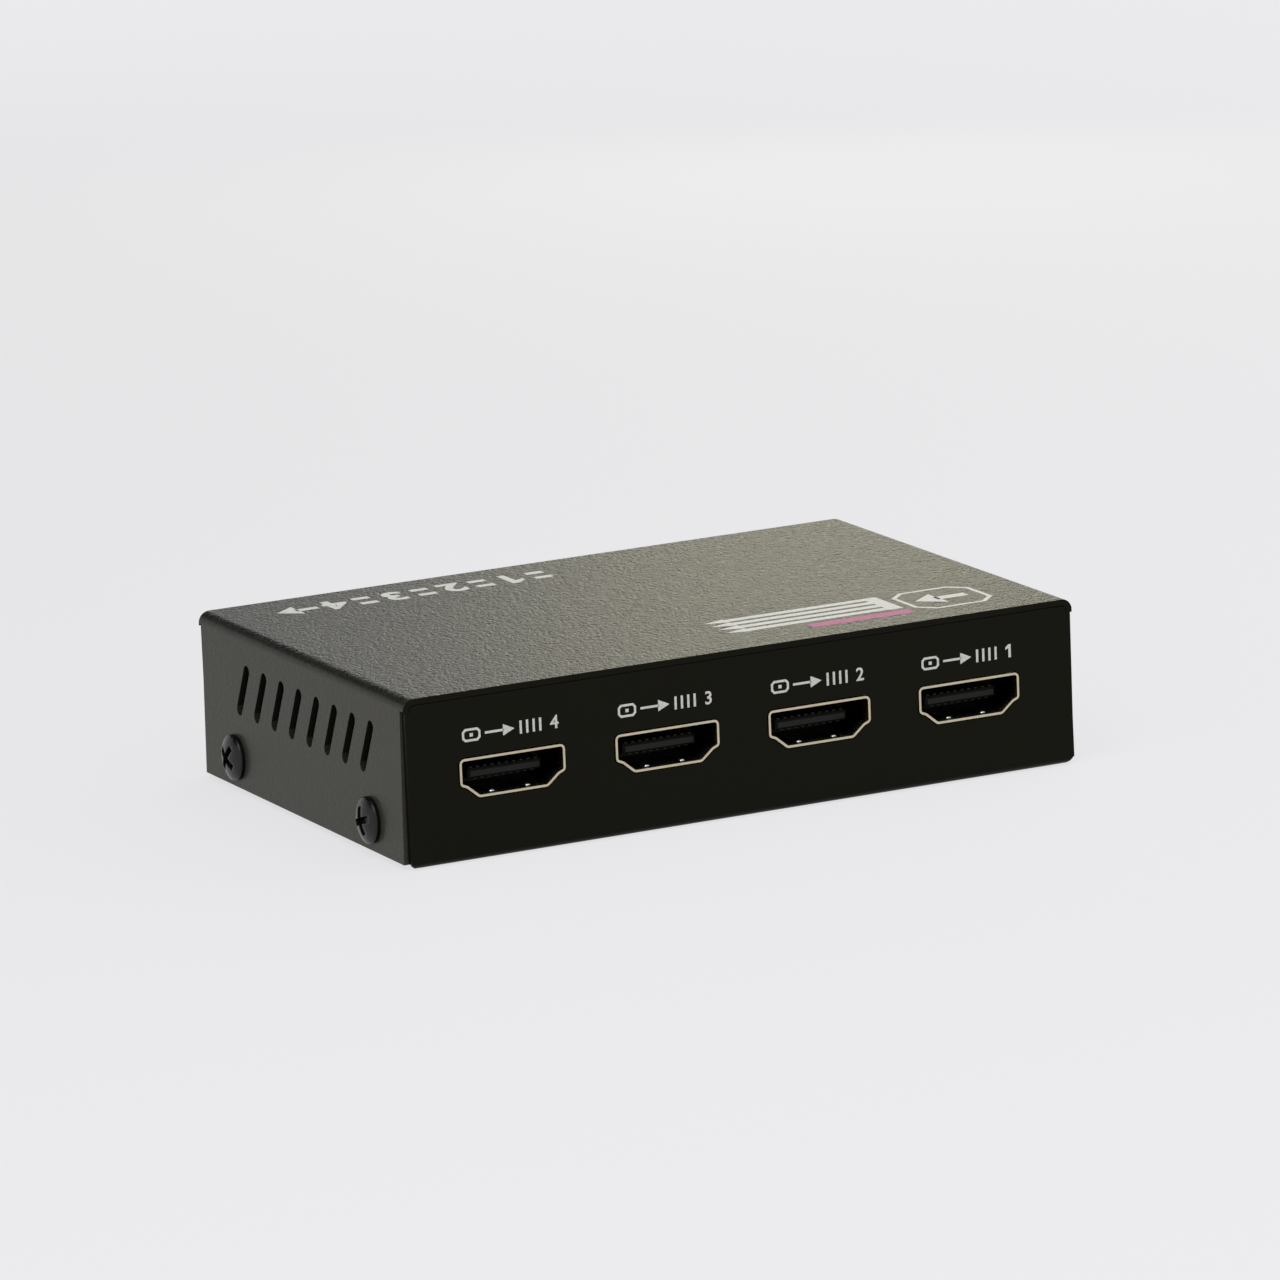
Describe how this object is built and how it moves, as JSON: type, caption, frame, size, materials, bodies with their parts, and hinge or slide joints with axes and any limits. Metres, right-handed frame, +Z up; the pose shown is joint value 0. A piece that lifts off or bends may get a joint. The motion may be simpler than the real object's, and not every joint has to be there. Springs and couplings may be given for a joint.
{
  "type": "video splitter",
  "caption": "Small flat metal box that shares one digital video input among a row of output sockets, with a power jack and indicator lights at the rear.",
  "frame": {"origin": "centre of the underside, on the surface that it stands on", "axes": "+Z up, -Y out of the panel with the output sockets, +Y out of the panel with the input socket and power jack, +X to the right as seen from in front of the outputs"},
  "size_m": [0.0986, 0.0612, 0.0218],
  "materials": {
    "cover_paint": "black powder coat with a fine grain, satin",
    "tray_paint": "black powder coat, satin",
    "screw_paint": "black oxide, semi-gloss",
    "board_laminate": "green solder mask, satin",
    "standoff_steel": "plated",
    "board_screw_steel": "plated",
    "shell_metal": "bright tin plating",
    "insert_plastic": "moulded, matte",
    "contact_metal": "thin gold plating",
    "jack_plastic": "moulded, matte",
    "jack_metal": "bright plating",
    "power_lens": "tinted clear resin",
    "output_lens": "tinted clear resin",
    "wire_metal": "tinned",
    "chip_plastic": "moulded, matte",
    "lead_metal": "tinned",
    "can_aluminium": "drawn, satin",
    "can_base_plastic": "moulded, matte",
    "choke_coating": "pressed ferrite, dull",
    "crystal_metal": "plated lid",
    "crystal_ceramic": "fired ceramic, dull",
    "fuse_body": "dull",
    "diode_plastic": "moulded, matte",
    "guard_body": "dull",
    "capacitor_body": "fired ceramic, dull",
    "resistor_body": "dull"
  },
  "bodies": {
    "root": {"top_cover": "cover_paint", "bottom_tray": "tray_paint", "side_screws": "screw_paint", "circuit_board": "board_laminate", "board_standoffs": "standoff_steel", "board_screws": "board_screw_steel", "output_4_socket_shell": "shell_metal", "output_4_socket_insert": "insert_plastic", "output_4_socket_contacts": "contact_metal", "output_3_socket_shell": "shell_metal", "output_3_socket_insert": "insert_plastic", "output_3_socket_contacts": "contact_metal", "output_2_socket_shell": "shell_metal", "output_2_socket_insert": "insert_plastic", "output_2_socket_contacts": "contact_metal", "output_1_socket_shell": "shell_metal", "output_1_socket_insert": "insert_plastic", "output_1_socket_contacts": "contact_metal", "input_socket_shell": "shell_metal", "input_socket_insert": "insert_plastic", "input_socket_contacts": "contact_metal", "power_jack_body": "jack_plastic", "power_jack_pin": "jack_metal", "power_jack_spring": "jack_metal", "power_light": "power_lens", "output_lights": "output_lens", "light_wires": "wire_metal", "splitter_chip": "chip_plastic", "memory_chips": "chip_plastic", "control_chip": "chip_plastic", "regulators": "chip_plastic", "splitter_chip_leads": "lead_metal", "memory_chip_leads": "lead_metal", "control_chip_leads": "lead_metal", "regulator_leads": "lead_metal", "power_choke_pads": "lead_metal", "storage_capacitor_cans": "can_aluminium", "storage_capacitor_bases": "can_base_plastic", "power_choke": "choke_coating", "crystal_lid": "crystal_metal", "crystal_base": "crystal_ceramic", "input_fuse": "fuse_body", "input_diode": "diode_plastic", "surge_guards": "guard_body", "chip_capacitors": "capacitor_body", "chip_resistors": "resistor_body"}
  },
  "joints": []
}
